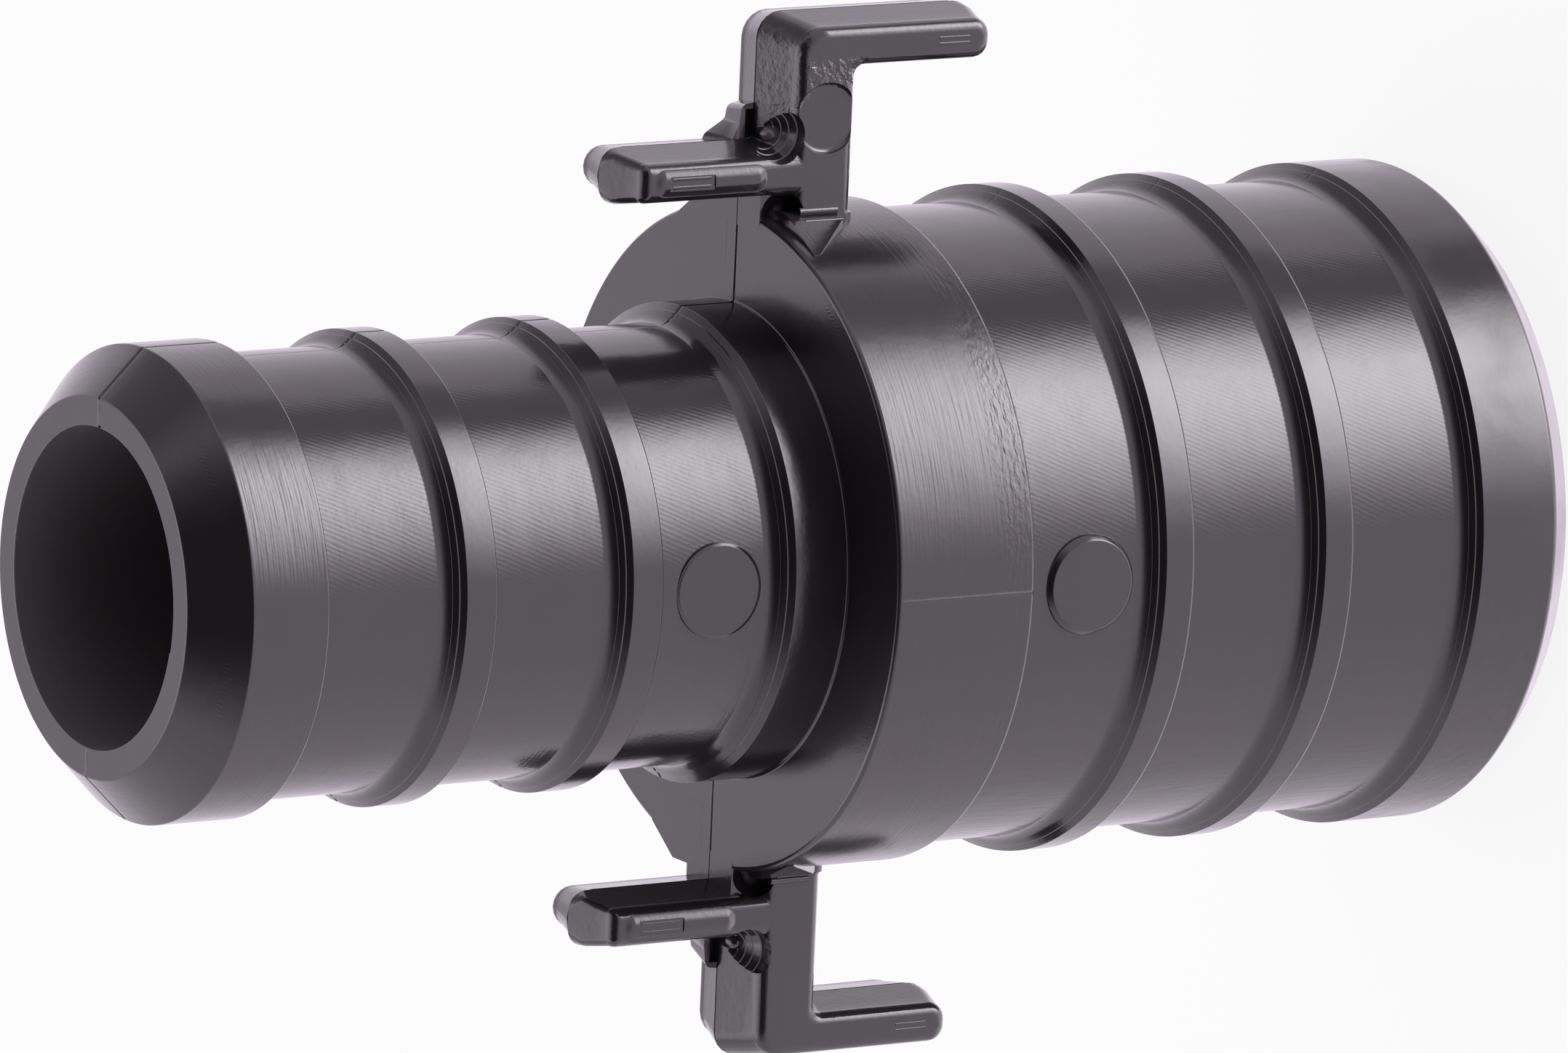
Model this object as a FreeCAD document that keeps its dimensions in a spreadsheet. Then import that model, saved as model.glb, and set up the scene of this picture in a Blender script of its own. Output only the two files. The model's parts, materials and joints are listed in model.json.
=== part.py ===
import FreeCAD, Part
import math
import os
import Sketcher

# Reducing crimp coupling for flexible water pipe, moulded in one piece.
# It stands on its large end: Z runs along the bore, from the large end up to the small end.
# The arms stand out to +X and -X, and the mould parts on the plane of the arms (Y = 0).

doc = FreeCAD.newDocument("ReducingCoupling")

# Driving dimensions, in millimetres and degrees
sizes = {
    "large_bore_radius": 6.35,
    "large_land_radius": 8.53,
    "large_barb_height": 0.45,
    "large_barb_length": 17.20,
    "large_lip_length": 3.13,
    "large_tip_chamfer_depth": 0.71,
    "large_tip_chamfer_length": 0.81,
    "small_bore_radius": 4.24,
    "small_land_radius": 5.88,
    "small_barb_height": 0.42,
    "small_barb_length": 19.17,
    "small_lip_length": 3.54,
    "small_tip_chamfer": 1.27,
    "rib_pitch": 5.02,
    "rib_crest_length": 0.93,
    "rib_flank_length": 0.52,
    "rib_root_depth": 0.50,
    "bore_step_length": 2.60,
    "collar_radius": 8.90,
    "collar_length": 4.24,
    "collar_edge_chamfer": 0.12,
    "shoulder_height": 0.52,
    "shoulder_length": 1.62,
    "shoulder_flank_length": 0.35,
    "arm_half_width": 1.62,
    "arm_edge_chamfer": 0.20,
    "arm_draft_along": 0.44,
    "arm_draft_out": 0.23,
    "arm_reach": 14.20,
    "stem_setback": 0.37,
    "stem_thickness": 2.52,
    "stem_corner_radius": 0.65,
    "stem_fillet_radius": 0.35,
    "stem_foot_radius": 0.40,
    "stem_foot_height": 0.10,
    "small_finger_radius": 9.28,
    "small_finger_thickness": 1.52,
    "small_finger_reach": 4.36,
    "small_finger_nose_radius": 0.75,
    "small_finger_top_radius": 0.50,
    "finger_face_radius": 0.22,
    "large_finger_thickness": 1.54,
    "large_finger_reach": 2.80,
    "large_finger_tip_radius": 0.55,
    "root_block_length": 1.05,
    "root_block_rise": 0.10,
    "gusset_width": 1.25,
    "gusset_draft_angle": 15.0,
    "gusset_length": 1.15,
    "gusset_step": 0.40,
    "gusset_height": 0.95,
    "gate_radius": 0.76,
    "gate_inner_radius": 0.50,
    "gate_out": 0.52,
    "gate_along": 0.28,
    "gate_floor": 0.10,
    "gate_step": 0.45,
    "foot_top_half_width": 1.80,
    "foot_base_half_width": 3.10,
    "foot_height": 0.12,
    "foot_drop": 0.70,
    "pin_mark_radius": 0.84,
    "pin_mark_depth": 0.12,
    "pin_mark_distance": 11.55,
    "pin_pad_radius": 1.27,
    "small_pin_pad_distance": 3.67,
    "large_pin_pad_distance": 1.92,
    "pin_pad_drop": 0.04,
    "pin_pad_root": 1.00,
}

sheet = doc.addObject("Spreadsheet::Sheet", "Sizes")
for row, (alias, number) in enumerate(sizes.items(), start=1):
    sheet.set("A%d" % row, alias.replace("_", " "))
    sheet.set("B%d" % row, str(number))
    sheet.setAlias("B%d" % row, alias)
doc.recompute()


class Length:
    """A length with its value now and the expression that binds it to the sheet."""

    def __init__(self, value, text):
        self.value = value
        self.text = text

    def __add__(self, other):
        return Length(self.value + other.value, "(%s + %s)" % (self.text, other.text))

    def __sub__(self, other):
        return Length(self.value - other.value, "(%s - %s)" % (self.text, other.text))

    def __mul__(self, factor):
        return Length(self.value * factor, "(%s * %s)" % (self.text, factor))

    def __neg__(self):
        return Length(-self.value, "(-%s)" % self.text)


def size(name):
    return Length(sizes[name], "Sizes." + name)


ZERO = Length(0.0, "0")
KNEE_RUN = 0.38
KNEE_RISE = 0.38


def hollow_flank(land, crest, top, run):
    """Corners of a flank that falls steeply from a crest and then runs out along the land."""
    return [
        (crest, top),
        (land + (crest - land) * KNEE_RISE, top + run * KNEE_RUN),
        (land, top + run),
    ]


body = doc.addObject("PartDesign::Body", "Coupling")
body.Label = "reducing_coupling"
origin = {feature.Role: feature for feature in body.Origin.OriginFeatures}


def new_sketch(name, plane, offset=None):
    """A sketch on an origin plane, moved along the plane's normal by offset."""
    sketch = body.newObject("Sketcher::SketchObject", name)
    sketch.AttachmentSupport = (origin[plane], [""])
    sketch.MapMode = "FlatFace"
    if offset is not None:
        sketch.AttachmentOffset = FreeCAD.Placement(FreeCAD.Vector(0, 0, offset.value), FreeCAD.Rotation())
        sketch.setExpression("AttachmentOffset.Base.z", offset.text)
    return sketch


def bind(sketch, constraint, length):
    index = sketch.addConstraint(constraint)
    sketch.setExpression("Constraints[%d]" % index, length.text)


def place_point(sketch, geometry, end, x, y):
    """Fix one end of an edge at x, y from the sketch's origin."""
    if x.value == 0:
        sketch.addConstraint(Sketcher.Constraint("PointOnObject", geometry, end, -2))
    else:
        bind(sketch, Sketcher.Constraint("DistanceX", -1, 1, geometry, end, x.value), x)
    if y.value == 0:
        sketch.addConstraint(Sketcher.Constraint("PointOnObject", geometry, end, -1))
    else:
        bind(sketch, Sketcher.Constraint("DistanceY", -1, 1, geometry, end, y.value), y)


def outline(sketch, corners):
    """A closed outline. A corner is (x, y), or (x, y, radius, turn) where an arc leaves it:
    turn is +1 for an arc that runs anticlockwise to the next corner and -1 for clockwise."""
    ends = []
    for index, corner in enumerate(corners):
        following = corners[(index + 1) % len(corners)]
        first = FreeCAD.Vector(corner[0].value, corner[1].value, 0)
        second = FreeCAD.Vector(following[0].value, following[1].value, 0)
        if len(corner) == 2:
            geometry = sketch.addGeometry(Part.LineSegment(first, second), False)
            ends.append((geometry, 1, 2))
            continue
        radius, turn = corner[2], corner[3]
        chord = second - first
        half = chord.Length / 2
        rise = math.sqrt(max(radius.value ** 2 - half ** 2, 0))
        side = FreeCAD.Vector(-chord.y, chord.x, 0).normalize() * turn
        centre = (first + second) * 0.5 + side * rise
        middle = centre - side * radius.value
        geometry = sketch.addGeometry(Part.Arc(first, middle, second), False)
        bind(sketch, Sketcher.Constraint("Radius", geometry, radius.value), radius)
        ends.append((geometry, 1, 2) if turn > 0 else (geometry, 2, 1))
    for index, (geometry, start, finish) in enumerate(ends):
        after, after_start, _ = ends[(index + 1) % len(ends)]
        sketch.addConstraint(Sketcher.Constraint("Coincident", geometry, finish, after, after_start))
        place_point(sketch, geometry, start, corners[index][0], corners[index][1])


def disc(sketch, x, y, radius):
    """A full circle at x, y."""
    circle = Part.Circle(FreeCAD.Vector(x.value, y.value, 0), FreeCAD.Vector(0, 0, 1), radius.value)
    geometry = sketch.addGeometry(circle, False)
    bind(sketch, Sketcher.Constraint("Radius", geometry, radius.value), radius)
    place_point(sketch, geometry, 3, x, y)


def turned(name, sketch):
    """A solid of revolution about the bore."""
    revolution = body.newObject("PartDesign::Revolution", name)
    revolution.Profile = sketch
    revolution.ReferenceAxis = (origin["Z_Axis"], [""])
    revolution.Angle = 360
    return revolution


def repeated_along_bore(name, feature, pitch):
    """A second copy of a feature, one pitch further up the bore."""
    pattern = body.newObject("PartDesign::LinearPattern", name)
    pattern.Originals = [feature]
    pattern.Direction = (origin["Z_Axis"], [""])
    pattern.Occurrences = 2
    pattern.setExpression("Length", pitch.text)
    body.Tip = pattern
    return pattern


# Heights along the bore, from the large end
collar_bottom = size("large_barb_length")
collar_top = collar_bottom + size("collar_length")
full_length = collar_top + size("small_barb_length")
large_crest = size("large_land_radius") + size("large_barb_height")
small_crest = size("small_land_radius") + size("small_barb_height")
small_lip_bottom = full_length - size("small_lip_length")

# Turned core: both lands, the lips at the two ends, the shoulder, the collar and the stepped bore
shoulder_top = collar_top + size("shoulder_length")
shoulder_radius = size("small_land_radius") + size("shoulder_height")
collar_rim = size("collar_radius") - size("collar_edge_chamfer")
flank = size("rib_flank_length")
profile = new_sketch("CoreProfile", "XZ_Plane")
outline(profile, [
    (size("large_bore_radius"), ZERO),
    (large_crest - size("large_tip_chamfer_depth"), ZERO),
    (large_crest, size("large_tip_chamfer_length")),
    *hollow_flank(size("large_land_radius"), large_crest, size("large_lip_length"), flank),
    (size("large_land_radius"), collar_bottom),
    (collar_rim, collar_bottom),
    (size("collar_radius"), collar_bottom + size("collar_edge_chamfer")),
    (size("collar_radius"), collar_top - size("collar_edge_chamfer")),
    (collar_rim, collar_top),
    (shoulder_radius, collar_top),
    (shoulder_radius, shoulder_top),
    (size("small_land_radius"), shoulder_top + size("shoulder_flank_length")),
    (size("small_land_radius"), small_lip_bottom),
    (small_crest, small_lip_bottom),
    (small_crest, full_length - size("small_tip_chamfer")),
    (small_crest - size("small_tip_chamfer"), full_length),
    (size("small_bore_radius"), full_length),
    (size("small_bore_radius"), collar_bottom + size("bore_step_length")),
    (size("large_bore_radius"), collar_bottom),
])
core = turned("Core", profile)

# Ribs that grip the pipe: a steep face towards the pipe's end and a hollow flank towards the small end
def rib(name, land, crest, top):
    """One rib whose crest ends at the height top, with its root sunk into the land."""
    sketch = new_sketch(name + "Profile", "XZ_Plane")
    bottom = top - size("rib_crest_length")
    root = land - size("rib_root_depth")
    outline(sketch, [
        (root, bottom),
        (crest, bottom),
        *hollow_flank(land, crest, top, flank),
        (root, top + flank),
    ])
    return turned(name, sketch)


large_rib_top = size("large_lip_length") + size("rib_pitch")
large_rib = rib("LargeRib", size("large_land_radius"), large_crest, large_rib_top)
large_ribs = repeated_along_bore("LargeRibs", large_rib, size("rib_pitch"))

small_rib_top = small_lip_bottom - size("rib_pitch") * 2 + size("rib_crest_length")
small_rib = rib("SmallRib", size("small_land_radius"), small_crest, small_rib_top)
small_ribs = repeated_along_bore("SmallRibs", small_rib, size("rib_pitch"))

# Arm: a stem with a finger towards each end, widest on the parting plane and drawn in on both sides
stem_top = collar_top - size("stem_setback")
stem_bottom = stem_top - size("stem_thickness")
small_finger_tip = collar_top + size("small_finger_reach")
small_finger_out = size("small_finger_radius") + size("small_finger_thickness")
large_finger_tip = collar_bottom - size("large_finger_reach")
large_finger_in = size("arm_reach") - size("large_finger_thickness")
arm_root = size("collar_radius") - size("large_finger_thickness")
foot_out = size("collar_radius") + size("stem_foot_height")


def arm_section(name, offset, draft_out, draft_along, nose, brow, tip):
    """The arm's outline in a plane beside the parting plane, drawn in by the two drafts.
    Nose, brow and tip are the rounding radii at the ends of the two fingers."""
    corner = size("stem_corner_radius")
    fillet = size("stem_fillet_radius")
    foot = size("stem_foot_radius")
    near_in = size("small_finger_radius") + draft_out
    near_out = small_finger_out - draft_out
    far_in = large_finger_in + draft_out
    far_out = size("arm_reach") - draft_out
    top = stem_top - draft_along
    bottom = stem_bottom + draft_along
    small_end = small_finger_tip - draft_along
    large_end = large_finger_tip + draft_along
    sketch = new_sketch(name, "XZ_Plane", offset)
    outline(sketch, [
        (arm_root, bottom - foot),
        (foot_out, bottom - foot, foot, -1),
        (foot_out + foot, bottom),
        (far_in - fillet, bottom, fillet, -1),
        (far_in, bottom - fillet),
        (far_in, large_end + tip, tip, 1),
        (far_in + tip, large_end),
        (far_out - tip, large_end, tip, 1),
        (far_out, large_end + tip),
        (far_out, top - corner, corner, 1),
        (far_out - corner, top),
        (near_out, top),
        (near_out, small_end - brow, brow, 1),
        (near_out - brow, small_end),
        (near_in + nose, small_end, nose, 1),
        (near_in, small_end - nose),
        (near_in, top),
        (arm_root, top),
    ])
    return sketch


half_width = size("arm_half_width")
edge = size("arm_edge_chamfer")
flat_half = half_width - edge
draft_out = size("arm_draft_out")
draft_along = size("arm_draft_along")
parted = (size("small_finger_nose_radius"), size("small_finger_top_radius"), size("large_finger_tip_radius"))
faced = (size("finger_face_radius"),) * 3
front_face = arm_section("ArmFront", half_width, draft_out + edge, draft_along + edge, *faced)
front_edge = arm_section("ArmFrontEdge", flat_half, draft_out, draft_along, *faced)
parting = arm_section("ArmParting", None, ZERO, ZERO, *parted)
back_edge = arm_section("ArmBackEdge", -flat_half, draft_out, draft_along, *faced)
back_face = arm_section("ArmBack", -half_width, draft_out + edge, draft_along + edge, *faced)
arm = body.newObject("PartDesign::AdditiveLoft", "Arm")
arm.Profile = front_face
arm.Sections = [front_edge, parting, back_edge, back_face]
arm.Ruled = True


def pad(name, sketch, length, midplane=False, reverse=False):
    feature = body.newObject("PartDesign::Pad", name)
    feature.Profile = sketch
    feature.setExpression("Length", length.text)
    feature.Midplane = midplane
    feature.Reversed = reverse
    return feature


def pocket(name, sketch, depth, reverse):
    feature = body.newObject("PartDesign::Pocket", name)
    feature.Profile = sketch
    feature.setExpression("Length", depth.text)
    feature.Reversed = reverse
    return feature


# Block at the root of the small finger, square where the finger is rounded
block_sketch = new_sketch("RootBlockProfile", "XZ_Plane")
block_in = size("small_finger_radius") + draft_out
block_out = small_finger_out - draft_out + size("root_block_rise")
block_bottom = stem_top - draft_along - edge
outline(block_sketch, [
    (block_in, block_bottom),
    (block_out, block_bottom),
    (block_out, block_bottom + size("root_block_length")),
    (block_in, block_bottom + size("root_block_length")),
])
root_block = pad("RootBlock", block_sketch, half_width * 2, midplane=True)

# Gusset in the corner between stem and small finger, on the far side of the parting plane only
gusset_sketch = new_sketch("GussetProfile", "XZ_Plane")
gusset_low = small_finger_out - draft_out * 2
outline(gusset_sketch, [
    (gusset_low, stem_top - draft_along),
    (gusset_low, stem_top + size("gusset_length")),
    (small_finger_out, stem_top + size("gusset_length")),
    (small_finger_out + size("gusset_height") * 0.5, stem_top + size("gusset_step")),
    (small_finger_out + size("gusset_height") * 0.8, stem_top + size("gusset_step")),
    (small_finger_out + size("gusset_height"), stem_top),
    (small_finger_out + size("gusset_height"), stem_top - draft_along),
])
gusset = pad("Gusset", gusset_sketch, size("gusset_width"), reverse=True)
gusset.setExpression("TaperAngle", "-Sizes.gusset_draft_angle")

# Round gate hollow on the near side of the same corner, in two steps
gate_height = stem_top + size("gate_along")
gate_out = small_finger_out + size("gate_out")
gate_sketch = new_sketch("GateProfile", "XZ_Plane", size("gate_step"))
disc(gate_sketch, gate_out, gate_height, size("gate_radius"))
gate = pocket("Gate", gate_sketch, half_width, reverse=True)
gate_inner_sketch = new_sketch("GateInnerProfile", "XZ_Plane", size("gate_floor"))
disc(gate_inner_sketch, gate_out, gate_height, size("gate_inner_radius"))
gate_inner = pocket("GateInner", gate_inner_sketch, half_width, reverse=True)

# Foot that spreads the stem into the collar on both sides
foot_sketch = new_sketch("FootProfile", "XY_Plane", stem_bottom + draft_along)
foot_top = size("collar_radius") + size("foot_height")
foot_base = size("collar_radius") - size("foot_drop")
outline(foot_sketch, [
    (arm_root, -size("foot_base_half_width")),
    (foot_base, -size("foot_base_half_width")),
    (foot_top, -size("foot_top_half_width")),
    (foot_top, size("foot_top_half_width")),
    (foot_base, size("foot_base_half_width")),
    (arm_root, size("foot_base_half_width")),
])
foot = pad("Foot", foot_sketch, size("stem_thickness") - draft_along * 2)

# The second arm mirrors the first across the bore
arms = body.newObject("PartDesign::Mirrored", "Arms")
arms.Originals = [arm, root_block, gusset, gate, gate_inner, foot]
arms.MirrorPlane = (origin["YZ_Plane"], [""])
body.Tip = arms

# Round ejector mark sunk into the front of one stem
mark_sketch = new_sketch("EjectorMarkProfile", "XZ_Plane", half_width - size("pin_mark_depth"))
disc(mark_sketch, size("pin_mark_distance"), (stem_top + stem_bottom) * 0.5, size("pin_mark_radius"))
mark = pocket("EjectorMark", mark_sketch, half_width, reverse=True)


def ejector_pad(name, land, height):
    """A flat round ejector face on the front of a land, proud above and below and sunk at its sides."""
    face = land - size("pin_pad_drop")
    root = size("pin_pad_root")
    proud = new_sketch(name + "Proud", "XZ_Plane", face - root)
    disc(proud, ZERO, height, size("pin_pad_radius"))
    pad(name, proud, root)
    sunk = new_sketch(name + "Sunk", "XZ_Plane", face)
    disc(sunk, ZERO, height, size("pin_pad_radius"))
    pocket(name + "Face", sunk, root, reverse=True)


ejector_pad("SmallEjectorPad", size("small_land_radius"), collar_top + size("small_pin_pad_distance"))
ejector_pad("LargeEjectorPad", size("large_land_radius"), collar_bottom - size("large_pin_pad_distance"))

doc.recompute()

# Checks before anything is written
failed = [item.Name for item in doc.Objects if "Invalid" in item.State or "Error" in item.State]
if failed:
    raise RuntimeError("these features failed: " + ", ".join(failed))
if body.Shape.isNull() or not body.Shape.isValid() or len(body.Shape.Solids) != 1:
    raise RuntimeError("the coupling is not one valid solid")

os.makedirs("parts", exist_ok=True)
body.Shape.exportStep("parts/%s.step" % body.Label)
print("volume %.1f mm3" % body.Shape.Volume, "box", body.Shape.BoundBox)
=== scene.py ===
import json
import math
import bmesh
import bpy
from mathutils import Matrix, Vector


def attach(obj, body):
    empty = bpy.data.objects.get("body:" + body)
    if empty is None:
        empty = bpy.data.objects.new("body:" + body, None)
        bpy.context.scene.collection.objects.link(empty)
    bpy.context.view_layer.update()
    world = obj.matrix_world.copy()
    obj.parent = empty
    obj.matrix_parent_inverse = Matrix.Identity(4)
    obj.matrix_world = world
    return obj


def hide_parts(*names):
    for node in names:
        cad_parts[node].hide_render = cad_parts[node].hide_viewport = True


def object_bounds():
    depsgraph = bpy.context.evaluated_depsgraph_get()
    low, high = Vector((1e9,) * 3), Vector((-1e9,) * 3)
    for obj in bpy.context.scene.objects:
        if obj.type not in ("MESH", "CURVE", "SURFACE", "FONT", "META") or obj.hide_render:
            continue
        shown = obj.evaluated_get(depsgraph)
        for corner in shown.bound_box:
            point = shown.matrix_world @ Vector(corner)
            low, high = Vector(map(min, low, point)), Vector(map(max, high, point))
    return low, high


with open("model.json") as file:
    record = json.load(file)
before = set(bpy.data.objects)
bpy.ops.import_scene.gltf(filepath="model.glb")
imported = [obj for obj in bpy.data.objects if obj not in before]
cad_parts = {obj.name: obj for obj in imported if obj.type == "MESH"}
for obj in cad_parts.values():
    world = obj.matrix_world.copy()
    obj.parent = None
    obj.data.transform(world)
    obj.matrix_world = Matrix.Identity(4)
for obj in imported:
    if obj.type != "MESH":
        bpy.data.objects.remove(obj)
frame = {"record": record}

cad_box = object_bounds()
MILLIMETRE = 0.001

# Studio: a white table, walls with one feathered bright side and two darker ones, and a
# camera at the photograph's viewing angle, found by fitting the circles of the barbs.
# The camera is rolled so that the bore lies across the picture.
VIEW_AZIMUTH = math.radians(13.397)
VIEW_ELEVATION = math.radians(31.013)
VIEW_ROLL = math.radians(-94.505)
VIEW_DISTANCE = 445.78 * MILLIMETRE
VIEW_AIM = Vector((-0.082, -0.020, 19.557)) * MILLIMETRE
LENS = 383.88
SENSOR_WIDTH = 36
LENS_SHIFT = 0.00654
NEAREST_SEEN = 0.01


def direction(azimuth, elevation):
    """Unit vector from the part: azimuth 0 is -Y, 90 degrees is +X, in radians."""
    level = math.cos(elevation)
    return Vector((math.sin(azimuth) * level, -math.cos(azimuth) * level, math.sin(elevation)))


camera_data = bpy.data.cameras.new("camera")
camera_data.lens = LENS
camera_data.sensor_width = SENSOR_WIDTH
camera_data.shift_y = LENS_SHIFT
camera_data.clip_start = NEAREST_SEEN
camera = bpy.data.objects.new("camera", camera_data)
bpy.context.scene.collection.objects.link(camera)
towards_camera = direction(VIEW_AZIMUTH, VIEW_ELEVATION)
level_turn = (-towards_camera).to_track_quat("-Z", "Y")
camera.matrix_world = (
    Matrix.Translation(VIEW_AIM + towards_camera * VIEW_DISTANCE)
    @ level_turn.to_matrix().to_4x4()
    @ Matrix.Rotation(VIEW_ROLL, 4, "Z")
)
bpy.context.scene.camera = camera


def calc(tree, operation, first, second=0.0, third=0.0):
    """A maths node on sockets or numbers, and its result."""
    node = tree.nodes.new("ShaderNodeMath")
    node.operation = operation
    for socket, value in zip(node.inputs, (first, second, third)):
        if isinstance(value, bpy.types.NodeSocket):
            tree.links.new(value, socket)
        else:
            socket.default_value = value
    return node.outputs[0]


def ramp(tree, value, low, high, at_low=0.0, at_high=1.0):
    """Smooth change from one number to another while the value goes from low to high."""
    node = tree.nodes.new("ShaderNodeMapRange")
    node.interpolation_type = "SMOOTHSTEP"
    tree.links.new(value, node.inputs["Value"])
    node.inputs["From Min"].default_value = low
    node.inputs["From Max"].default_value = high
    node.inputs["To Min"].default_value = at_low
    node.inputs["To Max"].default_value = at_high
    return node.outputs["Result"]


world = bpy.data.worlds.new("studio")
bpy.context.scene.world = world
world.use_nodes = True
sky = world.node_tree
ray = sky.nodes.new("ShaderNodeTexCoord").outputs["Generated"]


def patch(azimuth, elevation, inner, outer):
    """1 in a round patch of the studio's walls and 0 outside it, by angles in degrees."""
    towards = sky.nodes.new("ShaderNodeVectorMath")
    towards.operation = "DOT_PRODUCT"
    sky.links.new(ray, towards.inputs[0])
    towards.inputs[1].default_value = direction(math.radians(azimuth), math.radians(elevation))
    edge = math.cos(math.radians(outer))
    full = math.cos(math.radians(inner))
    return ramp(sky, towards.outputs["Value"], edge, full)


def feathered(angle, dark_low, full_low, full_high, dark_high):
    """1 between the full angles and smoothly 0 by the dark ones, in degrees."""
    rising = ramp(sky, angle, math.radians(dark_low), math.radians(full_low))
    falling = ramp(sky, angle, math.radians(full_high), math.radians(dark_high), 1.0, 0.0)
    return calc(sky, "MULTIPLY", rising, falling)


parts = sky.nodes.new("ShaderNodeSeparateXYZ")
sky.links.new(ray, parts.inputs[0])
heading = calc(sky, "ARCTAN2", parts.outputs["X"], calc(sky, "MULTIPLY", parts.outputs["Y"], -1.0))
rise = calc(sky, "ARCSINE", parts.outputs["Z"])
WALL_LEVEL = 1.16
WALL_COLOUR = (1.0, 0.91, 1.02, 1)
SOFTBOX_LEVEL = 8.0
SOFTBOX_COLOUR = (1, 1, 1, 1)
SOFTBOX_WIDTH = (0, 51, 57, 87)
SOFTBOX_HEIGHT = (-66, -48, -32, -22)
BRIGHT_PATCHES = ((-30, -31, 20, 60, 0.25), (-155, 66, 15, 36, 1.4), (0, -90, 22, 55, 1.3))
DARK_PATCHES = (
    (12, 58, 18, 62, 1.0),
    (94, -31, 5, 16, 0.55),
    (126, 24, 12, 34, 0.6),
    (-168, 6, 6, 20, 0.33),
)
softbox = calc(sky, "MULTIPLY", feathered(heading, *SOFTBOX_WIDTH), feathered(rise, *SOFTBOX_HEIGHT))
walls = calc(sky, "ADD", calc(sky, "MULTIPLY", softbox, SOFTBOX_LEVEL), WALL_LEVEL)
for azimuth, elevation, inner, outer, more in BRIGHT_PATCHES:
    added = calc(sky, "MULTIPLY", patch(azimuth, elevation, inner, outer), more)
    walls = calc(sky, "ADD", walls, added)
for azimuth, elevation, inner, outer, darker in DARK_PATCHES:
    taken = calc(sky, "MULTIPLY", patch(azimuth, elevation, inner, outer), darker)
    walls = calc(sky, "MULTIPLY", walls, calc(sky, "SUBTRACT", 1.0, taken))
tint = sky.nodes.new("ShaderNodeMix")
tint.data_type = "RGBA"
tint.inputs["A"].default_value = WALL_COLOUR
tint.inputs["B"].default_value = SOFTBOX_COLOUR
sky.links.new(softbox, tint.inputs["Factor"])
backdrop = sky.nodes["Background"]
sky.links.new(tint.outputs["Result"], backdrop.inputs["Color"])
sky.links.new(walls, backdrop.inputs["Strength"])

TABLE_SIZE = 6.0
TABLE_COLOUR = (0.9, 0.9, 0.9, 1)
TABLE_GLOW = 1.02
GLOW_SHARE = 0.86
table_mesh = bpy.data.meshes.new("table")
corner = TABLE_SIZE / 2
table_mesh.from_pydata(
    [(-corner, -corner, 0), (corner, -corner, 0), (corner, corner, 0), (-corner, corner, 0)],
    [],
    [(0, 1, 2, 3)],
)
table = bpy.data.objects.new("table", table_mesh)
bpy.context.scene.collection.objects.link(table)
table.visible_shadow = False
table.visible_glossy = False
table_paint = bpy.data.materials.new("white_table")
table_paint.use_nodes = True
nodes = table_paint.node_tree.nodes
links = table_paint.node_tree.links
nodes.clear()
matt = nodes.new("ShaderNodeBsdfDiffuse")
matt.inputs["Color"].default_value = TABLE_COLOUR
glow = nodes.new("ShaderNodeEmission")
glow.inputs["Strength"].default_value = TABLE_GLOW
path = nodes.new("ShaderNodeLightPath")
share = nodes.new("ShaderNodeMath")
share.operation = "MULTIPLY"
share.inputs[1].default_value = GLOW_SHARE
blend = nodes.new("ShaderNodeMixShader")
surface = nodes.new("ShaderNodeOutputMaterial")
links.new(path.outputs["Is Camera Ray"], share.inputs[0])
links.new(share.outputs[0], blend.inputs["Fac"])
links.new(matt.outputs[0], blend.inputs[1])
links.new(glow.outputs[0], blend.inputs[2])
links.new(blend.outputs[0], surface.inputs["Surface"])
table_mesh.materials.append(table_paint)

bpy.context.scene.view_settings.view_transform = "Standard"

# Barbs and collar: one turned form of glossy charcoal plastic, with the lips, ribs and shoulder
# as they leave the mould. It is spun from its outline in millimetres, with the halves' parting
# groove down both sides and a weld line along the collar.
record = frame["record"]
mounts = {mount["name"]: mount for mount in record["mounts"]}
LARGE_CREST = mounts["large_barb"]["dims"]["r_mm"]
SMALL_CREST = mounts["small_barb"]["dims"]["r_mm"]
LARGE_BORE = mounts["large_bore"]["dims"]["r_mm"]
SMALL_BORE = mounts["small_bore"]["dims"]["r_mm"]
COLLAR_TOP = mounts["small_pipe_stop"]["pos_m"][2] / MILLIMETRE
FULL_LENGTH = cad_box[1].z / MILLIMETRE
ARM_REACH = cad_box[1].x / MILLIMETRE
COLLAR_LENGTH = 4.24
COLLAR_RADIUS = 8.90
COLLAR_BOTTOM = COLLAR_TOP - COLLAR_LENGTH
BORE_STEP = 2.60
LARGE_LAND = LARGE_CREST - 0.45
SMALL_LAND = SMALL_CREST - 0.42
LARGE_LIP = 3.13
SMALL_LIP = 3.54
TIP_BEVEL = (0.71, 0.81)
MOUTH_BEVEL = 1.27
RIB_PITCH = 5.02
RIB_CREST = 0.93
FLANK_RUN = 0.45
FLANK_STEPS = (0.13, 0.28)
FLANK_TREAD = 0.035
FLANK_HOLLOW = 0.50
LARGE_RIB_EDGE = 0.13
SMALL_RIB_EDGE = 0.07
SHOULDER_RADIUS = SMALL_LAND + 0.52
SHOULDER_LENGTH = 1.62
TIP_EDGES = (0.10, 0.25)
COLLAR_EDGE = 0.14
SHOULDER_EDGE = 0.08
MOUTH_EDGES = (0.08, 0.10, 0.05)
LARGE_BORE_EDGE = 0.08
BORE_STEP_EDGE = 0.20
LAND_CORNER = 0.05
LIP_CORNER = 0.04
CREST_EDGE = 0.03
TREAD_EDGE = 0.01
ARC_SIZES = (0, 0.02, 0.06, 0.11, 0.3, 0.4)


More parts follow.
